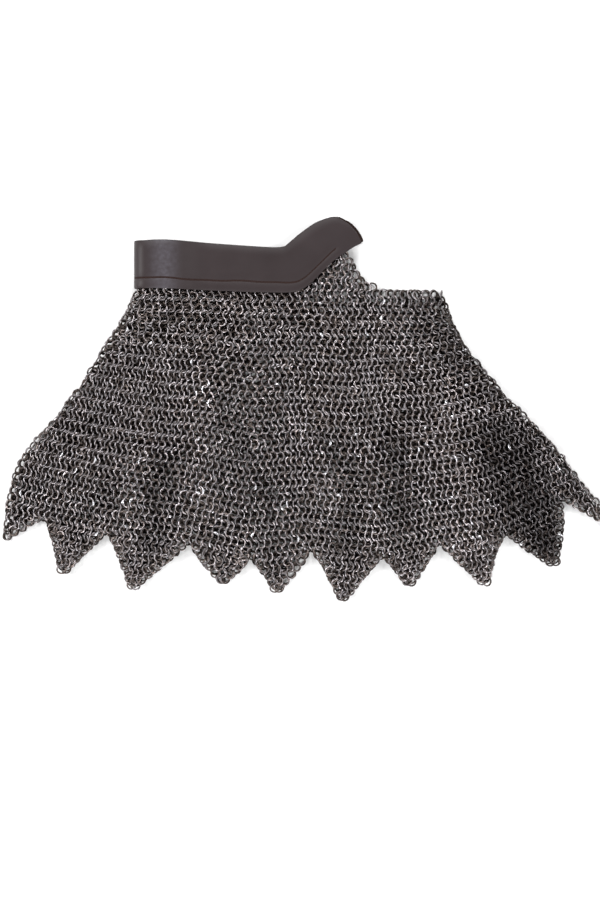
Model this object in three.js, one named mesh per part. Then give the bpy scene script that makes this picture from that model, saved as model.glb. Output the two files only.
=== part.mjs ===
// A mail aventail, laid flat and folded in half at the centre back and the centre front.
// Millimetres. +X runs from the back fold to the front fold, +Y from the hem up to the
// leather band and +Z up from the surface that it lies on. The origin is under its middle.
import * as THREE from "three";

// Driving dimensions
const MAIL_THICKNESS = 5; // depth of the woven rings
const LAYER_RISE = 5.5; // from the middle of the lower layer to the middle of the upper one
const LEATHER_THICKNESS = 2.8;
const CLEARANCE = 0.3; // between the mail and the leather
const SEAM_GAP = 0.4; // between the cape and a dag, and between two dags
const NAPE_RISE = 16; // between the middles of the two layers inside the bend of the band
const NAPE_LEVEL_LENGTH = 30; // how far the bend stays open, from the back fold
const NAPE_FALL_LENGTH = 85; // where the bend has closed again
const BAND_END_X = -202; // outside of the band's bend at the nape
const TIP_SHIFT = { x: 2.5, y: 3.5 }; // how far the lower cheek tip shows past the upper one
const TIP_SHIFT_START_X = 5;
const DAG_TIP_WIDTH = 10;
const LOWER_DAG_SCALE = 0.95; // the lower dags end a little short of the upper ones

// How finely the solids follow their curves
const UPPER_COLUMN_STEP = 13; // widest step between two columns at the hem
const LOWER_COLUMN_STEP = 52;
const NARROWEST_COLUMN = 0.006; // as a share of the cape's width
const BEND_STEPS = 4; // from the edge of a fold to the top or bottom of its layer
const EDGE_LEVELS = [-1, -0.75, -0.5, -0.25];
const BODY_LEVELS = [0, 0.06, 0.13, 0.22, 0.33, 0.45, 0.57, 0.69, 0.8, 0.9, 1];
const DAG_ROWS = 4;
const DAG_COLUMNS = 6;
const BAND_BACK_STEPS = 18;
const BAND_CHEEK_STEPS = 14;
const BAND_BEND_STEPS = 10;
const CURVE_SAMPLES = 24; // for each row of an outline's table
const FOLD_SAMPLE = 0.05; // share of a row's width over which its slant at a fold is taken

// The cape, level by level, from the band's lower edge to the line through the notches.
// Each row is an arc of mail: the back fold, its height at the quarters, the front fold.
const LEVELS = [
  { backX: -198.9, backY: 137, quarterY: 136, halfY: 134, threeQuarterY: 133, frontX: 154, frontY: 131 },
  { backX: -215, backY: 106, quarterY: 103, halfY: 100, threeQuarterY: 100, frontX: 163, frontY: 103 },
  { backX: -243, backY: 62, quarterY: 54, halfY: 50, threeQuarterY: 53, frontX: 186, frontY: 66 },
  { backX: -280, backY: 6, quarterY: -13, halfY: -21, threeQuarterY: -16, frontX: 230, frontY: 11 },
  { backX: -332, backY: -59, quarterY: -82, halfY: -93, threeQuarterY: -90, frontX: 284, frontY: -44 },
  { backX: -349, backY: -108, quarterY: -150, halfY: -162, threeQuarterY: -156, frontX: 315, frontY: -87 },
];

// The dags of one layer: each notch, the tip on its right, and how far the dag's two sides
// swell past straight lines.
const HEM = [
  { notchX: -304, notchY: -125, tipX: -283, tipY: -189, leftSwell: -1, rightSwell: 0 },
  { notchX: -233, notchY: -141, tipX: -203, tipY: -208, leftSwell: -1, rightSwell: 2 },
  { notchX: -138, notchY: -152, tipX: -100, tipY: -201, leftSwell: 4, rightSwell: 5 },
  { notchX: -70, notchY: -169, tipX: -38, tipY: -211, leftSwell: -1, rightSwell: 4 },
  { notchX: 0, notchY: -160, tipX: 38, tipY: -221, leftSwell: -3, rightSwell: 0 },
  { notchX: 84, notchY: -168, tipX: 114, tipY: -204, leftSwell: 0, rightSwell: 1 },
  { notchX: 148, notchY: -153, tipX: 200, tipY: -203, leftSwell: 0, rightSwell: -4 },
  { notchX: 225, notchY: -143, tipX: 279, tipY: -181, leftSwell: 3, rightSwell: 4 },
  { notchX: 288, notchY: -105, tipX: 358, tipY: -139, leftSwell: 0, rightSwell: 0 },
];
const BACK_TIP = { x: -358, y: -151 };
const FRONT_TIP = { x: 358, y: -139 };

// The mail's upper edge, under the band as far as the cheek tip and free from there on.
const TOP_EDGE = [
  { x: -198.9, y: 154 },
  { x: -22, y: 152 },
  { x: -8, y: 156 },
  { x: 5, y: 167 },
  { x: 18, y: 182 },
  { x: 30, y: 194 },
  { x: 40, y: 197 },
  { x: 45, y: 190 },
  { x: 48, y: 171 },
  { x: 56, y: 152 },
  { x: 64, y: 145 },
  { x: 74, y: 138 },
  { x: 85, y: 133 },
  { x: 93, y: 136 },
  { x: 113, y: 136 },
  { x: 134, y: 134.5 },
  { x: 154, y: 138 },
];

// Folds that run down the upper layer to the hem. Across: 0 at the back fold, 1 at the front
// fold. Lean: how far the fold moves across on its way down. Down: where it starts.
const FOLDS = [
  { across: 0.13, lean: -0.03, halfWidth: 0.05, height: 4, startDown: 0.45 },
  { across: 0.215, lean: 0.0, halfWidth: 0.04, height: 3.5, startDown: 0.55 },
  { across: 0.325, lean: 0.01, halfWidth: 0.05, height: 7.5, startDown: 0.3 },
  { across: 0.48, lean: 0.0, halfWidth: 0.055, height: 5, startDown: 0.4 },
  { across: 0.588, lean: -0.02, halfWidth: 0.036, height: 8.5, startDown: 0.5 },
  { across: 0.7, lean: -0.02, halfWidth: 0.045, height: 5, startDown: 0.35 },
  { across: 0.81, lean: 0.02, halfWidth: 0.05, height: 6.5, startDown: 0.3 },
  { across: 0.955, lean: 0.01, halfWidth: 0.045, height: 3.5, startDown: 0.4 },
];

// The band's outline, from the bend at the nape to the cheek tip.
const BAND_LOWER_EDGE = [
  [-202, 138],
  [-165, 138],
  [-99, 135.5],
  [-54, 134],
  [-22, 134],
  [-8, 138],
  [5, 148.5],
  [27, 170],
  [47, 184],
  [59, 190.5],
];
const BAND_UPPER_EDGE = [
  [-202, 192],
  [-165, 194],
  [-99, 189.5],
  [-44, 186],
  [-29, 187],
];
const CHEEK_EDGE = [
  [-29, 187],
  [-10, 203],
  [8, 215],
  [27, 221],
  [37, 217],
  [46, 211],
  [54, 201.5],
  [59, 192],
];
const CHEEK_START = CHEEK_EDGE[0][0];
const CHEEK_END = CHEEK_EDGE[CHEEK_EDGE.length - 1][0];

const MAIL_HALF = MAIL_THICKNESS / 2;
const BAND_LIFT = LEATHER_THICKNESS + CLEARANCE;
// The mail lies over the lower half of the band and comes down to the surface below it.
const LIFT_LEVEL_LENGTH = 15;
const LIFT_END_LENGTH = 34;
// Where the bend of the nape has died out in the mail, and the folds of the upper layer at
// its two sides.
const NAPE_END_DOWN = 0.35;
const CALM_BACK_SHARE = 0.06;
const CALM_FRONT_SHARE = 0.04;
const NOTCH_PULL = 4; // how late the rows take on the unevenness of the notches

const lerp = THREE.MathUtils.lerp;
const smooth = (value, start, end) => THREE.MathUtils.smoothstep(value, start, end);

// A smooth curve through a table's heights, read off at any place across.
function heightReader(points) {
  const curve = new THREE.SplineCurve(points.map(([x, y]) => new THREE.Vector2(x, y)));
  const samples = curve.getPoints(points.length * CURVE_SAMPLES);
  return (x) => straightBetween(samples, x);
}

// A table's heights joined by straight lines.
function straightBetween(points, x) {
  const next = points.findIndex((point) => point.x >= x);
  if (next === 0) return points[0].y;
  if (next < 0) return points[points.length - 1].y;
  const from = points[next - 1];
  const to = points[next];
  return lerp(from.y, to.y, (x - from.x) / (to.x - from.x));
}

const bandLowerEdge = heightReader(BAND_LOWER_EDGE);
const bandBackEdge = heightReader(BAND_UPPER_EDGE);
const bandCheekEdge = heightReader(CHEEK_EDGE);
const bandUpperEdge = (x) => (x < CHEEK_START ? bandBackEdge(x) : bandCheekEdge(x));

// One column of the table of levels as a smooth curve, read at 0 (band) to 1 (notches).
function levelReader(column) {
  const last = LEVELS.length - 1;
  const points = LEVELS.map((level, index) => new THREE.Vector3(index / last, level[column], 0));
  const curve = new THREE.CatmullRomCurve3(points, false, "catmullrom", 0.5);
  return (down) => curve.getPoint(down).y;
}

const backX = levelReader("backX");
const backY = levelReader("backY");
const quarterY = levelReader("quarterY");
const halfY = levelReader("halfY");
const threeQuarterY = levelReader("threeQuarterY");
const frontX = levelReader("frontX");
const frontY = levelReader("frontY");

// The line through the notches, from fold to fold.
const NOTCH_LINE = [
  { x: backX(1), y: backY(1) },
  ...HEM.map((dag) => ({ x: dag.notchX, y: dag.notchY })),
  { x: frontX(1), y: frontY(1) },
];

// The height of a level's arc: a smooth curve through its five heights.
function arcHeight(across, down) {
  const heights = [backY(down), quarterY(down), halfY(down), threeQuarterY(down), frontY(down)];
  const points = heights.map((height, index) => new THREE.Vector3(index / 4, height, 0));
  return new THREE.CatmullRomCurve3(points, false, "catmullrom", 0.5).getPoint(across).y;
}

// A place on the cape as seen from above. Across: 0 to 1 from fold to fold.
// Down: -1 at the upper edge, 0 at the band's lower edge, 1 at the notches.
function plan(across, down) {
  if (down < 0) {
    const x = lerp(backX(0), frontX(0), across);
    return { x, y: lerp(arcHeight(across, 0), straightBetween(TOP_EDGE, x), -down) };
  }
  const x = lerp(backX(down), frontX(down), across);
  const notchX = lerp(backX(1), frontX(1), across);
  const sag = straightBetween(NOTCH_LINE, notchX) - arcHeight(across, 1);
  return { x, y: arcHeight(across, down) + sag * down ** NOTCH_PULL };
}

// Height of the middle of the lower layer.
function lowerHeight(x, y) {
  const pastTip = Math.max(0, x - CHEEK_END);
  const belowBand = bandLowerEdge(x) + pastTip - y;
  return MAIL_HALF + BAND_LIFT * (1 - smooth(belowBand, LIFT_LEVEL_LENGTH, LIFT_END_LENGTH));
}

// How far the bend at the nape holds the two layers apart.
function napeRise(fromBack, down) {
  const closing = 1 - smooth(fromBack, NAPE_LEVEL_LENGTH, NAPE_FALL_LENGTH);
  const fading = 1 - smooth(down, 0, NAPE_END_DOWN);
  return LAYER_RISE + (NAPE_RISE - LAYER_RISE) * closing * fading;
}

// Height of the folds of the upper layer over its flat lie.
function foldHeight(across, down) {
  let height = 0;
  for (const fold of FOLDS) {
    const crest = fold.across + fold.lean * (1 - down);
    const offset = (across - crest) / fold.halfWidth;
    height += fold.height * smooth(down, fold.startDown, 1) * Math.exp(-offset * offset);
  }
  return height * smooth(across, 0, CALM_BACK_SHARE) * smooth(1 - across, 0, CALM_FRONT_SHARE);
}

// The width that a whole row would have, measured along one stretch of it.
function spanWidth(from, to, down) {
  const start = plan(from, down);
  const end = plan(to, down);
  return Math.hypot(end.x - start.x, end.y - start.y) / (to - from);
}

// One closed turn of the cape's mail at a level: its outer and inner points.
function capeTurn(down, upperColumns, lowerColumns) {
  const outer = [];
  const inner = [];
  const backWidth = spanWidth(0, FOLD_SAMPLE, down);
  const frontWidth = spanWidth(1 - FOLD_SAMPLE, 1, down);
  const backRadius = napeRise(0, down) / 2;
  const frontRadius = LAYER_RISE / 2;
  const backInset = (backRadius + MAIL_HALF) / backWidth;
  const frontInset = (frontRadius + MAIL_HALF) / frontWidth;

  const addFlat = (share, isUpper) => {
    const across = lerp(backInset, 1 - frontInset, share);
    const { x, y } = plan(across, down);
    const low = lowerHeight(x, y);
    const lift = napeRise(across * backWidth, down) + foldHeight(across, down);
    const middle = isUpper ? low + lift : low;
    const side = isUpper ? MAIL_HALF : -MAIL_HALF;
    outer.push([x, y, middle + side]);
    inner.push([x, y, middle - side]);
  };
  const addBend = (isFront, angle) => {
    const radius = isFront ? frontRadius : backRadius;
    const width = isFront ? frontWidth : backWidth;
    const edge = plan(isFront ? 1 : 0, down);
    const low = lowerHeight(edge.x, edge.y);
    for (const [list, reach] of [[outer, radius + MAIL_HALF], [inner, radius - MAIL_HALF]]) {
      const fromEdge = (radius + MAIL_HALF - reach * Math.cos(angle)) / width;
      const { x, y } = plan(isFront ? 1 - fromEdge : fromEdge, down);
      list.push([x, y, low + radius + reach * Math.sin(angle)]);
    }
  };

  upperColumns.forEach((share) => addFlat(share, true));
  for (let step = 1; step < 2 * BEND_STEPS; step++) {
    addBend(true, Math.PI / 2 - (Math.PI * step) / (2 * BEND_STEPS));
  }
  [...lowerColumns].reverse().forEach((share) => addFlat(share, false));
  for (let step = 1; step < 2 * BEND_STEPS; step++) {
    addBend(false, -Math.PI / 2 + (Math.PI * step) / (2 * BEND_STEPS));
  }
  return { outer, inner };
}

// A closed wall between two grids of points. Rows run down, columns to the right as seen
// from the front grid's side. A tube's last column joins its first.
function wall(front, back, isTube) {
  const rows = front.length;
  const columns = front[0].length;
  const behind = rows * columns;
  const faces = [];
  const quad = (a, b, c, d) => faces.push(a, b, c, a, c, d);
  const at = (row, column) => row * columns + (column % columns);
  const spans = isTube ? columns : columns - 1;
  for (let row = 0; row < rows - 1; row++) {
    for (let column = 0; column < spans; column++) {
      const [a, b] = [at(row, column), at(row + 1, column)];
      const [c, d] = [at(row + 1, column + 1), at(row, column + 1)];
      quad(a, b, c, d);
      quad(d + behind, c + behind, b + behind, a + behind);
    }
  }
  const rim = (from, to) => quad(from, to, to + behind, from + behind);
  for (let column = 0; column < spans; column++) {
    rim(at(0, column), at(0, column + 1));
    rim(at(rows - 1, column + 1), at(rows - 1, column));
  }
  if (!isTube) {
    for (let row = 0; row < rows - 1; row++) {
      rim(at(row + 1, 0), at(row, 0));
      rim(at(row, columns - 1), at(row + 1, columns - 1));
    }
  }
  const geometry = new THREE.BufferGeometry();
  const positions = [...front.flat(2), ...back.flat(2)];
  geometry.setAttribute("position", new THREE.Float32BufferAttribute(positions, 3));
  geometry.setIndex(faces);
  geometry.computeVertexNormals();
  return geometry;
}

const steelMail = new THREE.MeshStandardMaterial({
  name: "oiled steel mail",
  color: 0x6a6462,
  roughness: 0.42,
  metalness: 1,
});
const bandLeather = new THREE.MeshStandardMaterial({
  name: "dark brown leather",
  color: 0x473f40,
  roughness: 0.55,
  metalness: 0,
});

const group = new THREE.Group();

function addPiece(name, geometry, material) {
  const mesh = new THREE.Mesh(geometry, material);
  mesh.name = name;
  group.add(mesh);
}

// Places across the cape, fold to fold, that hold the corners of its two edges.
function columnShares(widestStep) {
  const topShares = TOP_EDGE.map((point) => (point.x - backX(0)) / (frontX(0) - backX(0)));
  const hemShares = NOTCH_LINE.map((point) => (point.x - backX(1)) / (frontX(1) - backX(1)));
  const corners = [...topShares, ...hemShares].sort((a, b) => a - b);
  const shares = [0];
  for (const corner of corners) {
    const from = shares[shares.length - 1];
    if (corner - from < NARROWEST_COLUMN) continue;
    const steps = Math.ceil(((corner - from) * (frontX(1) - backX(1))) / widestStep);
    for (let step = 1; step <= steps; step++) {
      shares.push(lerp(from, corner, step / steps));
    }
  }
  shares[shares.length - 1] = 1;
  return shares;
}

function buildCape() {
  const upperColumns = columnShares(UPPER_COLUMN_STEP);
  const lowerColumns = columnShares(LOWER_COLUMN_STEP);
  const turns = [...EDGE_LEVELS, ...BODY_LEVELS].map((down) => {
    return capeTurn(down, upperColumns, lowerColumns);
  });
  const outer = turns.map((turn) => turn.outer);
  const inner = turns.map((turn) => turn.inner);
  addPiece("mail_cape", wall(outer, inner, true), steelMail);
}

// A whole dag, from its base between two notches to its tip.
function buildDag(name, left, right, isUpper) {
  const reach = isUpper ? 1 : LOWER_DAG_SCALE;
  const front = [];
  const back = [];
  const acrossOf = (x) => (x - backX(1)) / (frontX(1) - backX(1));
  const middleX = (left.notchX + right.notchX) / 2;
  const middleY = (left.notchY + right.notchY) / 2;
  const tipX = lerp(middleX, left.tipX, reach);
  const tipY = lerp(middleY, left.tipY, reach);
  for (let row = 0; row <= DAG_ROWS; row++) {
    const down = row / DAG_ROWS;
    const frontRow = [];
    const backRow = [];
    for (let column = 0; column <= DAG_COLUMNS; column++) {
      const share = column / DAG_COLUMNS;
      const baseX = lerp(left.notchX + SEAM_GAP, right.notchX - SEAM_GAP, share);
      const baseY = lerp(left.notchY, right.notchY, share) - SEAM_GAP;
      const swell = lerp(-left.leftSwell, left.rightSwell, share) * Math.sin(Math.PI * down);
      const x = lerp(baseX, tipX + (share - 0.5) * DAG_TIP_WIDTH, down) + swell;
      const y = lerp(baseY, tipY, down);
      const fold = foldHeight(acrossOf(baseX), 1) * (1 - smooth(down, 0, 1));
      const middle = isUpper ? MAIL_HALF + LAYER_RISE + fold : MAIL_HALF;
      frontRow.push([x, y, middle + MAIL_HALF]);
      backRow.push([x, y, middle - MAIL_HALF]);
    }
    front.push(frontRow);
    back.push(backRow);
  }
  addPiece(name, wall(front, back, false), steelMail);
}

// A dag that is folded in half at the centre back or the centre front.
function buildFoldedDag(name, notch, foldPoint, tip) {
  const flatShares = [0, 0.5, 1];
  const outer = [];
  const inner = [];
  const isBack = foldPoint.x < notch.x;
  const radius = LAYER_RISE / 2;
  for (let row = 0; row <= DAG_ROWS; row++) {
    const down = row / DAG_ROWS;
    const side = Math.sign(notch.x - foldPoint.x);
    const tipSide = tip.x + side * DAG_TIP_WIDTH;
    const sideX = lerp(notch.x - side * SEAM_GAP, tipSide, down);
    const sideY = lerp(notch.y - SEAM_GAP, tip.y, down);
    const edgeX = lerp(foldPoint.x, tip.x, down);
    const edgeY = lerp(foldPoint.y - SEAM_GAP, tip.y, down);
    const width = Math.abs(sideX - edgeX);
    const inset = (radius + MAIL_HALF) / width;
    const outerRow = [];
    const innerRow = [];
    const place = (fromEdge) => [lerp(edgeX, sideX, fromEdge), lerp(edgeY, sideY, fromEdge)];
    const middle = MAIL_HALF + radius;
    for (const share of flatShares) {
      const [x, y] = place(lerp(1, inset, share));
      outerRow.push([x, y, middle + radius + MAIL_HALF]);
      innerRow.push([x, y, middle + radius - MAIL_HALF]);
    }
    for (let step = 1; step < 2 * BEND_STEPS; step++) {
      const angle = Math.PI / 2 - (Math.PI * step) / (2 * BEND_STEPS);
      for (const [list, reach] of [[outerRow, radius + MAIL_HALF], [innerRow, radius - MAIL_HALF]]) {
        const [x, y] = place((radius + MAIL_HALF - reach * Math.cos(angle)) / width);
        list.push([x, y, middle + reach * Math.sin(angle)]);
      }
    }
    for (const share of flatShares) {
      const [x, y] = place(lerp(inset, 1, share));
      outerRow.push([x, y, middle - radius - MAIL_HALF]);
      innerRow.push([x, y, middle - radius + MAIL_HALF]);
    }
    outer.push(isBack ? outerRow.reverse() : outerRow);
    inner.push(isBack ? innerRow.reverse() : innerRow);
  }
  addPiece(name, wall(outer, inner, false), steelMail);
}

function buildHem() {
  for (let index = 0; index < HEM.length - 1; index++) {
    buildDag(`dag_upper_${index + 1}`, HEM[index], HEM[index + 1], true);
    buildDag(`dag_under_${index + 1}`, HEM[index], HEM[index + 1], false);
  }
  const first = { x: HEM[0].notchX, y: HEM[0].notchY };
  const last = { x: HEM[HEM.length - 1].notchX, y: HEM[HEM.length - 1].notchY };
  buildFoldedDag("dag_back_fold", first, NOTCH_LINE[0], BACK_TIP);
  buildFoldedDag("dag_front_fold", last, NOTCH_LINE[NOTCH_LINE.length - 1], FRONT_TIP);
}

// The band: one strip, bent round the nape, its two ends cut to the cheek tips.
function buildBand() {
  const bendRadius = NAPE_RISE / 2 + MAIL_HALF + CLEARANCE + LEATHER_THICKNESS / 2;
  const bendX = BAND_END_X + LEATHER_THICKNESS / 2 + bendRadius;
  const half = LEATHER_THICKNESS / 2;
  const stations = [];
  const upperHeight = (x) => {
    const rise = napeRise(x - backX(0), 0);
    return BAND_LIFT + MAIL_THICKNESS + rise + CLEARANCE + half;
  };
  const xs = [];
  for (let step = 0; step < BAND_BACK_STEPS; step++) {
    xs.push(lerp(bendX, CHEEK_START, step / BAND_BACK_STEPS));
  }
  for (let step = 0; step <= BAND_CHEEK_STEPS; step++) {
    xs.push(lerp(CHEEK_START, CHEEK_END, step / BAND_CHEEK_STEPS));
  }
  for (const x of [...xs].reverse()) {
    stations.push({ x, z: upperHeight(x), outX: 0, outZ: 1, cutX: x });
  }
  for (let step = 1; step < BAND_BEND_STEPS; step++) {
    const angle = Math.PI / 2 + (Math.PI * step) / BAND_BEND_STEPS;
    const outX = Math.cos(angle);
    const outZ = Math.sin(angle);
    const z = half + bendRadius + bendRadius * outZ;
    stations.push({ x: bendX + bendRadius * outX, z, outX, outZ, cutX: bendX });
  }
  for (const x of xs) {
    const shift = TIP_SHIFT.x * smooth(x, bendX, CHEEK_START);
    const drop = TIP_SHIFT.y * smooth(x, TIP_SHIFT_START_X, CHEEK_END);
    stations.push({ x: x + shift, z: half, outX: 0, outZ: -1, cutX: x, shiftY: drop });
  }
  const heights = [0, 0.5, 1];
  const grid = (side) => heights.map((share) => stations.map((station) => [
    station.x + side * half * station.outX,
    lerp(bandLowerEdge(station.cutX), bandUpperEdge(station.cutX), share) + (station.shiftY ?? 0),
    station.z + side * half * station.outZ,
  ]));
  addPiece("leather_band", wall(grid(1), grid(-1), false), bandLeather);
}

buildCape();
buildHem();
buildBand();

export default group;
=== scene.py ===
from collections import namedtuple

import bpy
import numpy as np
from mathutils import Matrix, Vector
from mathutils.bvhtree import BVHTree


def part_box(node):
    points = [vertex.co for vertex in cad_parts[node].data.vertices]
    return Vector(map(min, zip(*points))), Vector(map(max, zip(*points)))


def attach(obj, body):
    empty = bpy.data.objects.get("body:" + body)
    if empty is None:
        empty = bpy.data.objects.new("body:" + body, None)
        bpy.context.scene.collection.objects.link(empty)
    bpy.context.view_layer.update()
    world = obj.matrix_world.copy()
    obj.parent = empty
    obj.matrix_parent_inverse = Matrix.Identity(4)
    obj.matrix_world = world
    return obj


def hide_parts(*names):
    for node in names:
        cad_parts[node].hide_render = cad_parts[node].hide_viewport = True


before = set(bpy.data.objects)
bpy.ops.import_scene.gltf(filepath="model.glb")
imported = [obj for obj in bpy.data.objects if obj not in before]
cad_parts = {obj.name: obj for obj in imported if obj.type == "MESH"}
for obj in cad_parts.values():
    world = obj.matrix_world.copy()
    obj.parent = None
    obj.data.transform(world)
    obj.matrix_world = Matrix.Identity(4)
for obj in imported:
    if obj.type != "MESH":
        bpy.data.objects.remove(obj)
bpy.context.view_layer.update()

bl_info = {
    "name": "Mail aventail",
    "version": (1, 0, 0),
    "blender": (4, 5, 0),
    "location": "View3D > Sidebar > Aventail",
    "description": "Lays the rings of a mail aventail, cuts its leather band and sews it on",
    "category": "Add Mesh",
}

# Lengths are in metres. +X runs from the back fold to the front fold, +Y from the hem up to
# the leather band, and the garment lies on the surface at z = 0.
SEED = 7

# The cape, level by level, from the band's lower edge to the line through the notches.
Level = namedtuple("Level", "back_x back_y quarter_y half_y three_quarter_y front_x front_y")
LEVELS = (
    Level(-0.1989, 0.137, 0.136, 0.134, 0.133, 0.154, 0.131),
    Level(-0.215, 0.106, 0.103, 0.100, 0.100, 0.163, 0.103),
    Level(-0.243, 0.062, 0.054, 0.050, 0.053, 0.186, 0.066),
    Level(-0.280, 0.006, -0.013, -0.021, -0.016, 0.230, 0.011),
    Level(-0.332, -0.059, -0.082, -0.093, -0.090, 0.284, -0.044),
    Level(-0.349, -0.108, -0.150, -0.162, -0.156, 0.315, -0.087),
)

# The dags of one layer: each notch, the tip on its right, how far the two sides swell, and
# the rings in the row that the dag hangs from. The last one is the dag folded at the front.
Dag = namedtuple("Dag", "notch_x notch_y tip_x tip_y left_swell right_swell rings")
HEM = (
    Dag(-0.304, -0.125, -0.283, -0.189, -0.001, 0.000, 10),
    Dag(-0.233, -0.141, -0.203, -0.208, -0.001, 0.002, 12),
    Dag(-0.138, -0.152, -0.100, -0.201, 0.004, 0.005, 9),
    Dag(-0.070, -0.169, -0.038, -0.211, -0.001, 0.004, 9),
    Dag(0.000, -0.160, 0.038, -0.221, -0.003, 0.000, 11),
    Dag(0.084, -0.168, 0.114, -0.204, 0.000, 0.001, 9),
    Dag(0.148, -0.153, 0.200, -0.203, 0.000, -0.004, 11),
    Dag(0.225, -0.143, 0.279, -0.181, 0.003, 0.004, 11),
    Dag(0.288, -0.105, 0.358, -0.139, 0.000, 0.000, 10),
)
BACK_TIP = (-0.358, -0.151)
FRONT_TIP = (HEM[-1].tip_x, HEM[-1].tip_y)

# Low folds that stand up in the upper layer: a line along the crest, and the size of the fold.
Fold = namedtuple("Fold", "from_x from_y to_x to_y half_width rise")
FOLDS = (
    Fold(-0.256, -0.052, -0.261, -0.104, 0.012, 0.0030),
    Fold(-0.198, -0.052, -0.212, -0.156, 0.015, 0.0045),
    Fold(-0.130, 0.028, -0.122, -0.115, 0.017, 0.0055),
    Fold(-0.007, -0.012, 0.014, -0.104, 0.016, 0.0045),
    Fold(0.067, -0.035, 0.074, -0.156, 0.014, 0.0045),
    Fold(0.167, 0.011, 0.185, -0.151, 0.028, 0.0060),
)

# Hollows beside the folds, where the steel is painted darker, as shade: a line and how dark it is
# there.
ShadedHollow = namedtuple("ShadedHollow", "from_x from_y to_x to_y half_width oil")
SHADED_HOLLOWS = (
    ShadedHollow(-0.238, -0.070, -0.238, -0.104, 0.011, 0.32),
    ShadedHollow(-0.173, -0.070, -0.185, -0.156, 0.013, 0.42),
    ShadedHollow(-0.092, 0.011, -0.076, -0.047, 0.013, 0.28),
    ShadedHollow(-0.055, -0.070, -0.049, -0.128, 0.012, 0.28),
    ShadedHollow(0.014, -0.032, 0.053, -0.081, 0.013, 0.38),
    ShadedHollow(0.053, -0.081, 0.040, -0.156, 0.013, 0.38),
    ShadedHollow(0.092, -0.035, 0.106, -0.122, 0.019, 0.42),
    ShadedHollow(0.150, 0.121, 0.205, 0.030, 0.038, 0.38),
    ShadedHollow(0.219, -0.047, 0.270, -0.150, 0.042, 0.66),
)

# Where the rings of the lower rows are pushed closer together than elsewhere.
Crowd = namedtuple("Crowd", "x half_width more")
CROWDS = (
    Crowd(-0.318, 0.040, 0.50),
    Crowd(-0.215, 0.075, 0.40),
    Crowd(-0.006, 0.022, 0.40),
    Crowd(0.069, 0.022, 0.35),
    Crowd(0.133, 0.020, 0.20),
    Crowd(0.240, 0.075, 0.45),
)

# The rows of rings above the band's lower edge, going up, and the stretch that each one fills.
TopRow = namedtuple("TopRow", "from_x to_x")
TOP_ROWS = (
    TopRow(-0.300, 0.072),
    TopRow(-0.300, 0.060),
    TopRow(-0.0115, 0.054),
    TopRow(-0.002, 0.051),
    TopRow(0.007, 0.048),
    TopRow(0.018, 0.046),
    TopRow(0.028, 0.044),
)

# The band's outline, from the bend at the nape to the cheek tip.
BAND_LOWER_EDGE = (
    (-0.202, 0.138), (-0.165, 0.138), (-0.099, 0.1355), (-0.054, 0.134), (-0.022, 0.134),
    (-0.008, 0.138), (0.005, 0.1485), (0.027, 0.170), (0.047, 0.184), (0.059, 0.1905),
)
BAND_BACK_EDGE = (
    (-0.202, 0.192), (-0.165, 0.194), (-0.099, 0.1895), (-0.044, 0.186), (-0.029, 0.187),
)
CHEEK_EDGE = (
    (-0.029, 0.187), (-0.010, 0.203), (0.008, 0.215), (0.027, 0.221), (0.037, 0.217),
    (0.046, 0.211), (0.054, 0.2015), (0.059, 0.192),
)
CHEEK_START = CHEEK_EDGE[0][0]
CHEEK_END = CHEEK_EDGE[-1][0]

# Sizes that the garment shares with its frame
MAIL_HALF = 0.0025  # half the depth of the woven rings
LEATHER_HALF = 0.0014
FRONT_BEND = 0.00275  # radius of the mail's fold at the front
BAND_BEND = 0.0122  # radius of the band's fold at the nape
BAND_END_X = -0.202  # the outermost point of that fold
TIP_SHIFT_X = 0.0025  # how far the lower cheek tip shows past the upper one
TIP_SHIFT_Y = 0.0035
TIP_SHIFT_START_X = 0.005  # where it begins to show along its lower edge

# The weave. Rows, lean and offsets are those of four-in-one mail seen from above, but the rings
# aren't truly linked: most pass through fewer than four others, and nearly all cut into one.
TOP_ROW_PITCH = 0.0072
CAPE_ROWS = 38  # steps from the band's lower edge down to the notches
ROW_CLOSENESS = 0.08  # how much closer than the mean the uppermost rows lie
TOP_RINGS = 84  # round the row at the band's lower edge
# Row, and rings round
RING_COUNTS = ((0, TOP_RINGS), (8, 98), (20, 144), (36, 186), (37, 188), (CAPE_ROWS, 188))
BACK_DAG_RINGS = 14  # in the row that the dag folded at the back hangs from
FRONT_DAG_RINGS = HEM[-1].rings
TIP_RINGS = 2  # in the last row of a dag
LAYER_SLIP = 0.004  # half a row, so that the lower layer's rows lie between the upper ones
SLIP_SIDE_SHARE = 0.08  # of the way across, over which the slip fades towards a fold
SLIP_TOP_SHARE = 0.12  # of the way down, over which the slip grows from the band
CROWDED_SHARE = 0.45  # of the way down, from where on the crowds are full
NOTCH_INSET = 0.0045  # from a notch up to the middle of the ring over it
NOTCH_PULL = 4  # how late the rows take on the unevenness of the notches
HEM_PULL = 3  # how late the rows take on the ring counts of the dags
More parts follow.
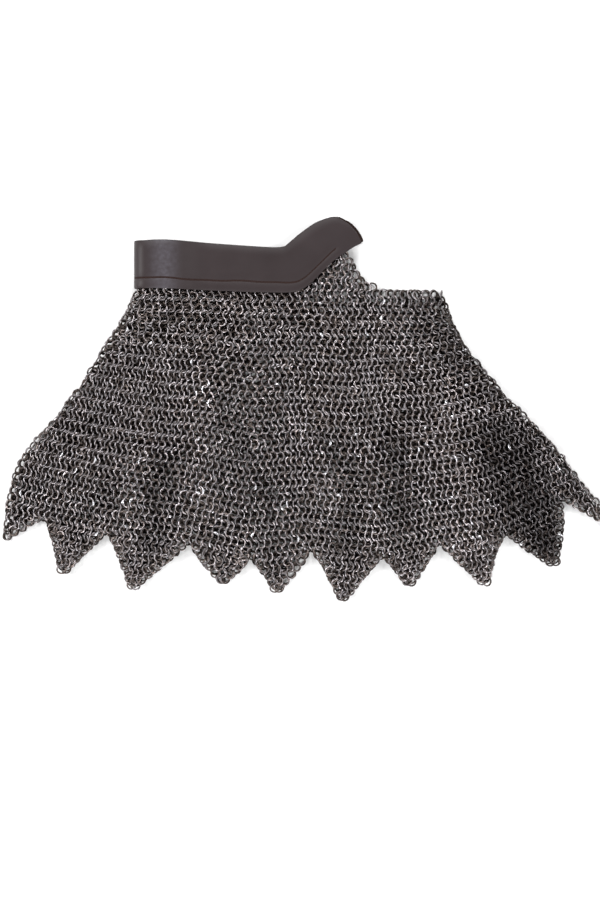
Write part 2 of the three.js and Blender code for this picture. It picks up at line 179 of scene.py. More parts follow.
# How far a place where one ring stands over two gaps may shift, as a share of the way to the next
JOIN_JITTER = 0.2
JOIN_SMOOTHINGS = 2  # how often the unevenness that it leaves is spread over the neighbours
ROW_UNEVENNESS = 0.93  # the share of a row's unevenness that the row above keeps
TOP_GAP = 1.7  # the widest gap, in mean pitches, that a ring of a top row still hangs over
RELAXED_PITCH = 0.0082  # of rings and rows in mail that hangs free
DAG_ROW_PITCH = 0.0070
DAG_ROWS = (5, 9)  # fewest and most
TIP_RING_PITCH = 0.005
ACROSS_SAMPLES = 41  # of the plan, for the rows' even pitch
DOWN_SAMPLES = 201
FLAT_SAMPLES = 121  # along one layer of a row
BEND_SAMPLES = 7  # round a fold
DAG_SAMPLES = 9  # across a whole dag
HALF_DAG_SAMPLES = 5  # across half of a folded one
WIDTH_SHARE = 0.05  # of the way across, over which the width beside a fold is read
DEPTH_PLACE = 0.011  # from the back fold to where the depth between the layers is read
RAY_HEIGHT = 1.0  # from where a solid's height is looked for
LOOK_ABOVE = 0.04  # from where its nearest point is looked for, beside its outline
LOOK_BELOW = -0.02
TABLE_STEPS = 24  # for each point of an outline
TINY = 1e-9  # a length that counts as none
SECTIONS = 4  # corners of the flattened wire
UPPER_SEGMENTS = 18  # of a ring that can be seen from above
UNDER_SEGMENTS = 14
UPPER_FACING = -0.2  # of the upper layer's rings, how far up their outside faces at least
UPPER_SPLITS = (-0.13, 0.04)  # x where one piece of the upper layer ends and the next begins
UNDER_SPLIT = -0.05

LAP_HALF_ANGLE = 0.4  # radians from the middle of a ring's lap to where it has thinned out
LAP_WIDENING = 0.85
LAP_THICKENING = 0.3
BAND_STATIONS = 90
BAND_CROWDING = 1.15  # above 1, the stations lie closer together towards the cheek tips
BAND_BEND_STEPS = 14
BAND_CREASE = 0.9  # radians, from which on two faces of the band meet in a sharp edge
EDGE_ROUNDING = 0.0007
EDGE_STEP = 0.3  # of the rounding, where its middle column lies
EDGE_THICKNESS = (0.2, 0.75)  # of the leather, at the outermost column and at the next one
FULL_COLUMNS = 9  # of the band's section, between its two rounded edges
SEAM_HEIGHT = 0.012  # of the stitches above the band's lower edge
# Slow waves that make the seam uneven: height, radians for each metre, and where they start
Wave = namedtuple("Wave", "height rate start")
SEAM_WAVES = (Wave(0.0005, 62, 0), Wave(0.0003, 151, 1))
SHEEN_X = -0.167  # middle of the painted sheen at the nape, where the band curves
SHEEN_HALF = 0.024
GROOVE_HALF = 0.0011
GROOVE_DEPTH = 0.0005
GROOVE_COLUMN = 5  # of the band's section, counted from its lower edge
SEAM_END_X = 0.031
STITCH_PITCH = 0.0046
STITCH_LENGTH = 0.0036
THREAD_RADIUS = 0.0005
THREAD_CLEARANCE = 0.00002  # of the thread below the leather's surface
THREAD_SIDES = 6
STITCH_SHARES = (-1.0, -0.85, 0.0, 0.85, 1.0)  # along a stitch, from end to end
STITCH_THICKNESS = (0.35, 0.8, 1.0, 0.8, 0.35)  # of the thread at each of these
STITCH_SHIFT = 0.0002  # along the seam
STITCH_SLANT = 0.00012
RIVET_SIDES = 5
RIVET_RADIUS = 0.0008
RIVET_HEIGHT = 0.0005
RIVET_SINK = 0.0002
TILT_STEP = 0.0032  # sine of a ring's lean times the distance to its neighbour
LEAN_LIMITS = (0.2, 0.75)  # of the sine of a ring's lean
FLAT_LEAN = 0.3  # of its usual lean, on a ring that lies flat
TILT_ALONG = 0.08  # how unevenly the rings tilt along the row
TILT_DOWN = 0.16  # and across it
SHIFT = (0.0004, 0.0004, 0.0002)  # of a ring's middle, along x, y and z
STAND_FULL = 0.0045  # from the depth where the steel is darkest, with old oil and painted shade, to where it stands out rubbed bare and painted lighter
STAND_MIDDLE = 0.62
STAND_LEAST = 0.15
# How bare the steel is, with a painted highlight on the outer rim and painted shade on the inside:
# outer and inner rim on the garment's outside, inner and outer on its inside
WORN_AND_LIT_CORNERS = (1.0, 0.4, 0.2, 0.5)
SHADED_UNDER_CORNERS = (0.8, 0.4, 0.2, 0.4)  # on the layer that lies underneath, painted darker as shade
OUTSIDE_CORNERS = (1, 1, 0, 0)  # the corners that are polished with a lap
FLAT_SHARE = 0.08  # of the rings that lie flat on their neighbours
POLISHED_SHARE = 0.035  # of the laps that are rubbed to a shine
CREST_POLISH = 700  # how much more often, for each metre that a fold stands up
PAINTED_CREST_LIGHT = 50  # painted light: how much lighter the steel is, for each metre that a fold stands up
FLOOR_CLEARANCE = 0.0001

# The stage
VIEW_CENTRE = (-0.01154, -0.04674)  # the middle of the picture, on the surface
VIEW_HEIGHT = 1.0386  # of the surface that the picture takes in
SENSOR_MM = 36
FLOOR_HALF = 4.0
PAPER = (0.95, 0.95, 0.95, 1)
PAPER_ROUGHNESS = 0.9
STUDIO_BRIGHTNESS = 0.1
LAMP_SIZE = 1.2
LAMP_HEIGHT = 1.6
Lamp = namedtuple("Lamp", "name x y share")  # the share of the key light's power
LAMPS = (
    Lamp("left_light", -2.1, 0.2, 1.0),
    Lamp("right_light", 2.1, 0.2, 0.8),
    Lamp("back_light", -0.2, 2.0, 0.8),
    Lamp("front_light", 0.1, -2.1, 0.9),
)

# Rings of one row or of many: where each one is, its directions, which way it leans, how far
# its neighbours are, and whether it hangs loose
Weave = namedtuple("Weave", "centre along down sign pitch loose")


def settings(name):
    return getattr(bpy.context.scene, name)


def curve_through(heights, share):
    """A smooth curve through evenly spaced heights, read at shares from 0 to 1."""
    heights = np.asarray(heights, float)
    if heights.ndim == 1:
        heights = np.repeat(heights[:, None], len(share), 1)
    before = 2 * heights[:1] - heights[1:2]
    after = 2 * heights[-1:] - heights[-2:-1]
    knots = np.concatenate([before, heights, after])
    place = np.clip(share, 0, 1) * (len(heights) - 1)
    step = np.minimum(place.astype(int), len(heights) - 2)
    t = place - step
    column = np.arange(len(share))
    a, b, c, d = (knots[step + k, column] for k in range(4))
    rise, fall = (c - a) / 2, (d - b) / 2
    return b + rise * t + (3 * (c - b) - 2 * rise - fall) * t**2 + (2 * (b - c) + rise + fall) * t**3


def level_value(column, down):
    return curve_through([getattr(level, column) for level in LEVELS], down)


def arc_height(across, down):
    columns = ("back_y", "quarter_y", "half_y", "three_quarter_y", "front_y")
    return curve_through([level_value(column, down) for column in columns], across)


def notch_line():
    one = np.ones(1)
    start = (level_value("back_x", one)[0], level_value("back_y", one)[0])
    end = (level_value("front_x", one)[0], level_value("front_y", one)[0])
    return np.array([start, *((dag.notch_x, dag.notch_y + NOTCH_INSET) for dag in HEM), end])


NOTCHES = notch_line()


def plan(across, down):
    """Places on the cape from above. Across: 0 to 1 from fold to fold. Down: 0 band, 1 notches."""
    x = level_value("back_x", down) * (1 - across) + level_value("front_x", down) * across
    notch_x = NOTCHES[0, 0] * (1 - across) + NOTCHES[-1, 0] * across
    notch_y = np.interp(notch_x, NOTCHES[:, 0], NOTCHES[:, 1])
    sag = notch_y - arc_height(across, np.ones_like(across))
    return x, arc_height(across, down) + sag * down**NOTCH_PULL


def solid_tree(node):
    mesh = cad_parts[node].data
    points = [v.co.copy() for v in mesh.vertices]
    return BVHTree.FromPolygons(points, [tuple(p.vertices) for p in mesh.polygons])


def nearness(line, x, y):
    """1 on the line of a fold or a hollow, falling to 0 away from it."""
    run = np.array([line.to_x - line.from_x, line.to_y - line.from_y])
    share = ((x - line.from_x) * run[0] + (y - line.from_y) * run[1]) / (run @ run)
    share = np.clip(share, 0, 1)
    off = np.hypot(x - line.from_x - share * run[0], y - line.from_y - share * run[1])
    return np.exp(-((off / line.half_width) ** 2))


def fold_rise(x, y):
    """How far the low folds lift the upper layer at each place."""
    return np.max([fold.rise * nearness(fold, x, y) for fold in FOLDS], axis=0)


def hollow_oil(x, y):
    """How much the painted shade of the hollows darkens the steel at each place."""
    return np.max([hollow.oil * nearness(hollow, x, y) for hollow in SHADED_HOLLOWS], axis=0)


def middle_heights(tree, x, y, is_upper):
    """The height of the middle of the mail in a solid, seen from above or from below."""
    way = -1.0 if is_upper else 1.0
    far, near = (RAY_HEIGHT, LOOK_ABOVE) if is_upper else (-RAY_HEIGHT, LOOK_BELOW)
    found = []
    for px, py in zip(x, y):
        hit = tree.ray_cast(Vector((px, py, far)), Vector((0, 0, way)))[0]
        if hit is None:
            hit = tree.find_nearest(Vector((px, py, near)))[0]
        found.append(hit.z + way * MAIL_HALF)
    return np.array(found) + (fold_rise(x, y) if is_upper else 0.0)


def even_rows():
    """For each row, how far down it lies at places across, so that rows keep an even pitch."""
    across = np.linspace(0, 1, ACROSS_SAMPLES)
    down = np.linspace(0, 1, DOWN_SAMPLES)
    grid_across, grid_down = (g.ravel() for g in np.meshgrid(across, down))
    x, y = (g.reshape(len(down), -1) for g in plan(grid_across, grid_down))
    steps = np.hypot(np.diff(x, axis=0), np.diff(y, axis=0))
    length = np.concatenate([np.zeros((1, len(across))), np.cumsum(steps, axis=0)])
    even = np.linspace(0, 1, CAPE_ROWS + 1)
    rows = even * (1 - ROW_CLOSENESS * (1 - even))
    columns = [np.interp(rows * length[-1, k], length[:, k], down) for k in range(len(across))]
    return across, np.array(columns).T


def smooth_step(value, start, end):
    t = np.clip((value - start) / (end - start), 0, 1)
    return t * t * (3 - 2 * t)


def lower_slip(across, down):
    """How far the lower layer has slipped towards the hem. At the folds and the band it hasn't."""
    side = SLIP_SIDE_SHARE
    inside = smooth_step(across, 0, side) * (1 - smooth_step(across, 1 - side, 1))
    return LAYER_SLIP * inside * smooth_step(down, 0, SLIP_TOP_SHARE)


def cape_loop(tree, across_grid, down_grid):
    """One row round the flattened tube: upper layer, front fold, lower layer, back fold."""

    def down_at(across):
        return np.interp(across, across_grid, down_grid)

    def place(across):
        return plan(across, down_at(across))

    x, y = place(np.array([0.0, WIDTH_SHARE, 1 - WIDTH_SHARE, 1.0]))
    back_width = np.hypot(x[1] - x[0], y[1] - y[0]) / WIDTH_SHARE
    front_width = np.hypot(x[3] - x[2], y[3] - y[2]) / WIDTH_SHARE
    inside = np.array([DEPTH_PLACE / back_width])
    probe = place(inside)
    gap = middle_heights(tree, *probe, True)[0] - middle_heights(tree, *probe, False)[0]
    back_bend = gap / 2
    back_inset = (back_bend + MAIL_HALF) / back_width
    front_inset = (FRONT_BEND + MAIL_HALF) / front_width
    flat = np.linspace(back_inset, 1 - front_inset, FLAT_SAMPLES)
    turn = np.pi * (0.5 - np.arange(1, BEND_SAMPLES + 1) / (BEND_SAMPLES + 1))

    upper = np.column_stack([*place(flat), middle_heights(tree, *place(flat), True)])
    x, y = place(flat)
    y = y - lower_slip(flat, down_at(flat))
    lower = np.column_stack([x, y, middle_heights(tree, x, y, False)])
    front_across = 1 - (FRONT_BEND * (1 - np.cos(turn)) + MAIL_HALF) / front_width
    front_z = (upper[-1, 2] + lower[-1, 2]) / 2 + (upper[-1, 2] - lower[-1, 2]) / 2 * np.sin(turn)
    back_across = (back_bend * (1 - np.cos(turn)) + MAIL_HALF) / back_width
    back_z = (upper[0, 2] + lower[0, 2]) / 2 - (upper[0, 2] - lower[0, 2]) / 2 * np.sin(turn)
    front = np.column_stack([*place(front_across), front_z])
    back = np.column_stack([*place(back_across), back_z])
    return np.concatenate([upper, front, lower[::-1], back]), (back_inset, front_inset)


def top_loop(tree, first, steps_up):
    """A row above the band's lower edge, straight up from the first one."""
    loop = first.copy()
    loop[:, 1] += TOP_ROW_PITCH * steps_up
    sides = {True: slice(0, FLAT_SAMPLES)}
    sides[False] = slice(FLAT_SAMPLES + BEND_SAMPLES, 2 * FLAT_SAMPLES + BEND_SAMPLES)
    for is_upper, side in sides.items():
        loop[side, 2] = middle_heights(tree, loop[side, 0], loop[side, 1], is_upper)
    return loop


def along_loop(points):
    """Length from the first point to each point of a closed loop, and the whole length."""
    steps = np.linalg.norm(np.roll(points, -1, axis=0) - points, axis=1)
    length = np.concatenate([[0], np.cumsum(steps)])
    return length[:-1], length[-1]


def crowded_shares(points, down):
    """The share of a row's rings before each point, with more of them where they crowd."""
    steps = np.linalg.norm(np.roll(points, -1, axis=0) - points, axis=1)
    for crowd in CROWDS:
        near = np.exp(-(((points[:, 0] - crowd.x) / crowd.half_width) ** 2))
        steps *= 1 + crowd.more * near * smooth_step(down, 0, CROWDED_SHARE)
    return np.concatenate([[0], np.cumsum(steps)[:-1]]) / steps.sum()


def dag_edges(insets):
    """Where the notches lie, as fractional samples of the last row's loop."""
    back, front = insets
    notch_across = (NOTCHES[1:-1, 0] - NOTCHES[0, 0]) / (NOTCHES[-1, 0] - NOTCHES[0, 0])
    upper = (notch_across - back) / (1 - front - back) * (FLAT_SAMPLES - 1)
    lower = 2 * FLAT_SAMPLES + BEND_SAMPLES - 1 - upper[::-1]
    return np.concatenate([upper, lower])


def hem_shares(edges, before, length):
    """The share of the hem's rings that each sample of a row has before it, dag by dag."""
    edges = np.interp(edges, np.arange(len(before)), before)
    upper = [dag.rings for dag in HEM[:-1]]
    rings = [*upper, FRONT_DAG_RINGS, *upper[::-1], BACK_DAG_RINGS]
    shares = np.cumsum([0, *rings[:-1]]) / sum(rings)
    edges = np.concatenate([edges - length, edges, edges + length])
    return np.interp(before, edges, np.concatenate([shares - 1, shares, shares + 1]))


def ring_counts():
    """How many rings each row has: more and more, as the cape widens."""
    rows, counts = zip(*RING_COUNTS)
    return np.round(np.interp(np.arange(CAPE_ROWS + 1), rows, counts)).astype(int)


def ring_shares(counts, rng):
    """Where the rings of each closed row lie, as shares of the way round, from the hem up.
    Each ring stands over the gap between two of the row below. Where the cape widens, one
    ring stands over two such gaps."""
    rows = [(np.arange(counts[-1]) + 0.5) / counts[-1]]
    for count in counts[-2::-1]:
        below = rows[0]
        after = np.append(below[1:], below[0] + 1)
        gaps = (below + after) / 2
        joined = len(gaps) - count
        if joined:
            start = rng.random()
            jitter = rng.uniform(-JOIN_JITTER, JOIN_JITTER, joined)
            pick = (np.arange(joined) + start + jitter) * len(gaps) / joined
            pick = np.unique(pick.astype(int) % (len(gaps) - 1))
            gaps[pick] = (gaps[pick] + gaps[pick + 1]) / 2
            gaps = np.delete(gaps, pick + 1)
        even = np.arange(len(gaps)) / len(gaps)
        offset = gaps - even
        for _ in range(JOIN_SMOOTHINGS):
            offset = (np.roll(offset, 1) + 2 * offset + np.roll(offset, -1)) / 4
        offset = offset.mean() + ROW_UNEVENNESS * (offset - offset.mean())
        rows.insert(0, even + offset)
    return rows


def read_round(values, place):
    """Values of a closed loop's samples, read between them."""
    step = np.floor(place).astype(int)
    t = (place - step)[:, None]
    size = len(values)
    return values[step % size] * (1 - t) + values[(step + 1) % size] * t


def place_round(share, loop_shares):
    """The fractional sample of a loop at each share of the way round."""
    size = len(loop_shares)
    ends = np.concatenate([loop_shares - 1, loop_shares, loop_shares + 1])
    return np.interp(share, ends, np.arange(-size, 2 * size))


def spacing(centre, is_closed):
    """Mean distance from each ring of a row to its neighbours."""
    if len(centre) < 2:
        return np.full(len(centre), RELAXED_PITCH)
    step = np.linalg.norm(np.diff(centre, axis=0), axis=1)
    if is_closed:
        last = np.linalg.norm(centre[0] - centre[-1])
        return (np.append(step, last) + np.append(last, step)) / 2
    return (np.append(step, step[-1]) + np.append(step[0], step)) / 2


def directions(loops, index):
    """The ways along and down a row at each of its samples, of any length."""
    here = loops[index]
    along = np.roll(here, -1, axis=0) - np.roll(here, 1, axis=0)
    down = loops[min(index + 1, len(loops) - 1)] - loops[max(index - 1, 0)]
    return along, down


def row_sign(row):
    """Which way the rings of a row lean: the rows lean to and fro."""
    return 1.0 if row % 2 == 0 else -1.0


def read_along(wanted, before, points):
    """Points of a line, read at lengths along it."""
    return np.column_stack([np.interp(wanted, before, points[:, k]) for k in range(3)])


def unit(vectors):
    return vectors / np.maximum(np.linalg.norm(vectors, axis=1, keepdims=True), TINY)


def weave_cape():
    """The rings of the whole cape, row by row."""
    rng = np.random.default_rng(SEED)
    tree = solid_tree("mail_cape")
    across_grid, down_rows = even_rows()
    built = [cape_loop(tree, across_grid, down_row) for down_row in down_rows]
    loops = [loop for loop, _ in built]
    tops = [top_loop(tree, loops[0], step) for step in range(len(TOP_ROWS), 0, -1)]
    everything = tops + loops
    first = len(tops)
    edges = dag_edges(built[-1][1])
    loop_shares = []
    for row, loop in enumerate(loops):
        before, length = along_loop(loop)
        hem = hem_shares(edges, before, length)
        even = crowded_shares(loop, row / CAPE_ROWS)
        even = even + (hem - even).mean()
        weight = (row / CAPE_ROWS) ** HEM_PULL
        loop_shares.append(even + weight * (hem - even))
    shares = ring_shares(ring_counts(), rng)

    rings = []

    def add_row(index, place, is_closed):
        along, down = directions(everything, index)
        centre = read_round(everything[index], place)
        sign = row_sign(index - first)
        rings.append(
            Weave(
                centre,
                unit(read_round(along, place)),
                unit(read_round(down, place)),
                np.full(len(centre), sign),
                spacing(centre, is_closed),
                np.zeros(len(centre)),
            )
        )

    for row, share in enumerate(shares):
        add_row(first + row, place_round(share, loop_shares[row]), True)

    share = shares[0]
    is_closed = True
    for step, top in enumerate(TOP_ROWS, 1):
        after = np.append(share[1:], share[0] + 1) if is_closed else share[1:]
        before = share if is_closed else share[:-1]
        near = after - before < TOP_GAP / TOP_RINGS
        gaps = ((before + after) / 2)[near]
        place = place_round(gaps, loop_shares[0])
        x = read_round(everything[first - step], place)[:, 0]
        keep = (x > top.from_x) & (x < top.to_x)
        share, place = gaps[keep], place[keep]
        is_closed = False
        add_row(first - step, place, False)
    return rings


def dag_row(points, down, count, sign):
    """One row of a dag: rings spread evenly along a line of points, the outermost two loose."""
    steps = np.linalg.norm(np.diff(points, axis=0), axis=1)
    before = np.concatenate([[0], np.cumsum(steps)])
    wanted = (np.arange(count) + 0.5) / count * before[-1]
    centre = read_along(wanted, before, points)
    along = read_along(wanted, before, np.gradient(points, axis=0))
    loose = np.zeros(count)
    loose[[0, -1]] = 1.0
    return Weave(
        centre,
        unit(along),
        unit(np.repeat(down[None], count, 0)),
        np.full(count, sign),
        spacing(centre, False),
        loose,
    )


def dag_counts(first, rows):
    """The rings in each row of a dag, ever fewer towards its tip."""
    return np.round(np.linspace(first, TIP_RINGS, rows + 1)[1:]).astype(int)


def dag_rows_for(height):
    return int(np.clip(round((height - settings("mail").ring_size / 2) / DAG_ROW_PITCH), *DAG_ROWS))


def weave_dag(node, left, right, is_upper):
    """The rings of a whole dag, from the notches to its tip."""
    tree = solid_tree(node)
    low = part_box(node)[0]
    rise = NOTCH_INSET if is_upper else NOTCH_INSET - LAYER_SLIP
    start = np.array([left.notch_x, left.notch_y + rise])
    end = np.array([right.notch_x, right.notch_y + rise])
    middle = (start + end) / 2
    reach = 1.0 if is_upper else (middle[1] - low.y) / (middle[1] - left.tip_y)
    tip = middle + (np.array([left.tip_x, left.tip_y]) - middle) * reach
    tip[1] += settings("mail").ring_size / 2
    rows = dag_rows_for(middle[1] - low.y)
    counts = dag_counts(left.rings, rows)
    tip_width = TIP_RINGS * TIP_RING_PITCH
    share = np.linspace(0, 1, DAG_SAMPLES)
    rings = []
    for row in range(1, rows + 1):
        down = row / rows
        base = start + (end - start) * share[:, None]
        goal = tip + np.column_stack([(share - 0.5) * tip_width, np.zeros(len(share))])
        flat = base + (goal - base) * down
        swell = -left.left_swell * (1 - share) + left.right_swell * share
        flat[:, 0] += swell * np.sin(np.pi * down)
        z = middle_heights(tree, flat[:, 0], flat[:, 1], is_upper)
        line = np.column_stack([flat, z])
        way = np.array([*(tip - middle), 0.0])
        if not is_upper:
            line = line[::-1]
        rings.append(dag_row(line, way, counts[row - 1], row_sign(CAPE_ROWS + row)))
    return rings


def weave_folded_dag(node, notch, fold, tip, first):
    """The rings of the dag that is folded in half at the centre back or the centre front."""
    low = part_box(node)[0]
    side = np.sign(notch[0] - fold[0])
    fold, notch, tip = (np.array(p, float) for p in (fold, notch, tip))
    tip = tip + np.array([side, 1.0]) * settings("mail").ring_size / 2
    rows = dag_rows_for(fold[1] - low.y)
    counts = dag_counts(first, rows)
    tip_width = TIP_RINGS * TIP_RING_PITCH / 2
    turn = np.pi * (0.5 - np.arange(BEND_SAMPLES + 2) / (BEND_SAMPLES + 1))
    middle_z = MAIL_HALF + FRONT_BEND
    rings = []
    for row in range(1, rows + 1):
        down = row / rows
        edge = fold + (tip - fold) * down
        goal = tip + np.array([side * tip_width, 0])
        far = notch + (goal - notch) * down
        width = np.linalg.norm(far - edge)
        inset = (FRONT_BEND + MAIL_HALF) / width
        layer = np.linspace(1, inset, HALF_DAG_SAMPLES)
        bend = (FRONT_BEND * (1 - np.cos(turn[1:-1])) + MAIL_HALF) / width
        back = np.linspace(inset, 1, HALF_DAG_SAMPLES)
        reach = np.maximum(np.concatenate([layer, bend, back]), 0)
        ones = np.ones(HALF_DAG_SAMPLES)
        rise = np.concatenate([ones, np.sin(turn[1:-1]), -ones]) * FRONT_BEND
        flat = edge + (far - edge) * reach[:, None]
        line = np.column_stack([flat, middle_z + rise])
        if side > 0:
            line = line[::-1]
        way = np.array([*(tip - fold), 0.0])
        rings.append(dag_row(line, way, counts[row - 1], row_sign(CAPE_ROWS + row)))
    return rings


def joined(rings):
    return Weave(*(np.concatenate(values) for values in zip(*rings)))


def chosen(weave, keep):
    return Weave(*(values[keep] for values in weave))


def lap_weight(angle):
    """1 in the middle of a ring's lap, 0 away from it."""
    return np.exp(-((np.minimum(angle, 2 * np.pi - angle) / LAP_HALF_ANGLE) ** 2))


def ring_template(segments, mail):
    """One flat ring with its lap: how far out, how far along the axis, and its angles."""
    angle = np.arange(segments) / segments * 2 * np.pi
    lap = lap_weight(angle)
    wide = mail.wire_width / 2 * (1 + LAP_WIDENING * lap)
    thick = mail.wire_thickness / 2 * (1 + LAP_THICKENING * lap)
    out = np.column_stack([wide, -wide, -wide, wide])
    axial = np.column_stack([thick, thick, -thick, -thick])
    return angle, out, axial


def tube_faces(stations, sides, is_closed=False):
    """The walls of a tube, from each station to the next one, and to the first if it is closed."""
    here = np.arange(stations if is_closed else stations - 1)[:, None] * sides
    after = (here + sides) % (stations * sides)
    corner = np.arange(sides)[None]
    turn = (corner + 1) % sides
    quads = np.stack([here + corner, here + turn, after + turn, after + corner], axis=-1)
    return quads.reshape(-1, 4)


def rivet_template(mail):
    """A low pointed rivet head on the lap, as places out, round and along the axis."""
    angle = np.arange(RIVET_SIDES) / RIVET_SIDES * 2 * np.pi
    foot = mail.wire_thickness / 2 * (1 + LAP_THICKENING)
    out = np.append(np.cos(angle) * RIVET_RADIUS, 0)
    side = np.append(np.sin(angle) * RIVET_RADIUS, 0)
    rise = np.append(np.full(RIVET_SIDES, foot - RIVET_SINK), foot + RIVET_HEIGHT)
    return out, side, rise


def carry(item, name, values):
    """Stores one value for each point of a mesh, for its material to read."""
    stored = item.data.attributes.new(name, "FLOAT", "POINT")
    stored.data.foreach_set("value", values.astype(np.float32))


def ring_axes(weave, rng):
    """Which way the garment's outside faces at each ring, two ways in the ring's own plane, and
    its axis."""
    count = len(weave.centre)
    outward = unit(np.cross(weave.down, weave.along))
    tight = np.clip(TILT_STEP / weave.pitch, *LEAN_LIMITS)
    lean = np.arcsin(tight) * (1 + rng.normal(0, settings("mail").looseness, count))
    lies_flat = (weave.loose > 0) | (rng.random(count) < FLAT_SHARE)
    lean = np.where(lies_flat, lean * FLAT_LEAN, lean) * weave.sign
    first = weave.along * np.cos(lean)[:, None] - outward * np.sin(lean)[:, None]
    first = unit(first + rng.normal(0, TILT_ALONG, (count, 1)) * outward)
    second = weave.down + rng.normal(0, TILT_DOWN, (count, 1)) * outward
    second = unit(second - (second * first).sum(1, keepdims=True) * first)
    return outward, first, second, unit(np.cross(second, first))


def rivet_faces():
    """A cone of triangles on the lap, and the face that closes it below."""
    corner = np.arange(RIVET_SIDES)
    after = (corner + 1) % RIVET_SIDES
    tip = np.full(RIVET_SIDES, RIVET_SIDES)
    return np.column_stack([corner, after, tip]), corner[::-1][None, :]


def wear_rings(item, points, centre, outward, lap, corners, rng):
    """Gives each point of the rings its tone, its wear with painted rim highlights and painted shade
    in the depth, and the folds' painted light and shade.
    """
    count, per_ring = points.shape[:2]
    carry(item, "ring_tone", np.repeat(rng.random(count), per_ring))
    size = len(lap) * SECTIONS
    corner_wear_and_light = np.ones(per_ring)
    corner_wear_and_light[:size] = np.tile(corners, len(lap))
    # the sunk half of each ring is painted darker as shade in the depth, and the half that stands
    # out is painted lighter
    stand = ((points - centre[:, None, :]) * outward[:, None, :]).sum(axis=2)
    wear_and_painted_light = corner_wear_and_light[None, :] * np.clip(STAND_MIDDLE + stand / STAND_FULL, STAND_LEAST, 1)
    on_lap = np.zeros(per_ring)
    on_lap[:size] = (lap[:, None] * OUTSIDE_CORNERS).ravel()
    crest = fold_rise(centre[:, 0], centre[:, 1])
    # oil: painted shade in the hollows beside the folds
    oil = hollow_oil(centre[:, 0], centre[:, 1])
    chance = POLISHED_SHARE * (1 + CREST_POLISH * crest) * (1 - oil)
    polished = rng.random(count) < chance
    wear_and_painted_light += polished[:, None] * on_lap[None, :]
    carry(item, "wear_and_painted_light", wear_and_painted_light.ravel())
    # cast: painted light on the folds' crests, less the painted shade in the hollows beside them
    carry(item, "cast", np.repeat(1 + PAINTED_CREST_LIGHT * crest - oil, per_ring))


def ring_mesh(name, weave, is_upper, is_hidden, rng):
    """One mesh object with every ring of a stretch of mail. The upper layer has rivets."""
    segments = UPPER_SEGMENTS if is_upper else UNDER_SEGMENTS
    mail = settings("mail")
    count = len(weave.centre)
    radius = (mail.ring_size - mail.wire_width) / 2
    outward, first, second, axis = ring_axes(weave, rng)
    centre = weave.centre + rng.normal(0, 1, (count, 3)) * SHIFT

    angle, out, axial = ring_template(segments, mail)
    spin = rng.uniform(0, 2 * np.pi, count)
    turned = angle[None, :] + spin[:, None]
    radial = (
        np.cos(turned)[:, :, None] * first[:, None, :]
        + np.sin(turned)[:, :, None] * second[:, None, :]
    )
    points = (
        centre[:, None, None, :]
        + (radius + out)[None, :, :, None] * radial[:, :, None, :]
        + axial[None, :, :, None] * axis[:, None, None, :]
    ).reshape(count, -1, 3)
    faces = [tube_faces(segments, SECTIONS, is_closed=True)]
    if is_upper:
        out, side, rise = rivet_template(mail)
        lap = np.cos(spin)[:, None] * first + np.sin(spin)[:, None] * second
        across = np.cross(axis, lap)
        heads = (
            centre[:, None, :]
            + (radius + out)[None, :, None] * lap[:, None, :]
            + side[None, :, None] * across[:, None, :]
            + rise[None, :, None] * axis[:, None, :]
        )
        points = np.concatenate([points, heads], axis=1)
        faces += [segments * SECTIONS + group for group in rivet_faces()]
    lowest = points[:, :, 2].min(axis=1)
    points[:, :, 2] += np.maximum(FLOOR_CLEARANCE - lowest, 0)[:, None]
    per_ring = points.shape[1]
    offset = (np.arange(count) * per_ring)[:, None, None]
    faces = [(group[None] + offset).reshape(-1, group.shape[1]) for group in faces]
    item = mesh_object(name, points.reshape(-1, 3), faces)
    # the layer underneath is painted darker, as shade under the upper one
    corners = SHADED_UNDER_CORNERS if is_hidden else WORN_AND_LIT_CORNERS
    wear_rings(item, points, centre, outward, lap_weight(angle), corners, rng)
    return item


def finish_mail(item, nodes):
    """Gives one stretch of mail its oiled steel, hangs it from the root body and hides the solids
    that it stands in for.
    """
    item.data.materials.append(oiled_steel())
    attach(item, "root")
    if nodes:
        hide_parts(*nodes)
    return item


def mesh_object(name, points, faces, smooth_angle=None):
    """A mesh object from an array of points and arrays of faces with equal corners."""
    mesh = bpy.data.meshes.new(name)
    mesh.vertices.add(len(points))
    mesh.vertices.foreach_set("co", np.ascontiguousarray(points, np.float32).ravel())
    corners = np.concatenate([group.ravel() for group in faces])
    totals = np.concatenate([np.full(len(group), group.shape[1]) for group in faces])
    mesh.loops.add(len(corners))
    mesh.loops.foreach_set("vertex_index", corners.astype(np.int32))
    mesh.polygons.add(len(totals))
    starts = np.concatenate([[0], np.cumsum(totals)[:-1]])
    mesh.polygons.foreach_set("loop_start", starts.astype(np.int32))
    mesh.polygons.foreach_set("loop_total", totals.astype(np.int32))
    mesh.update(calc_edges=True)
    mesh.validate()
    mesh.shade_smooth()
    if smooth_angle:
        mesh.set_sharp_from_angle(angle=smooth_angle)
    item = bpy.data.objects.new(name, mesh)
    bpy.context.scene.collection.objects.link(item)
    return item


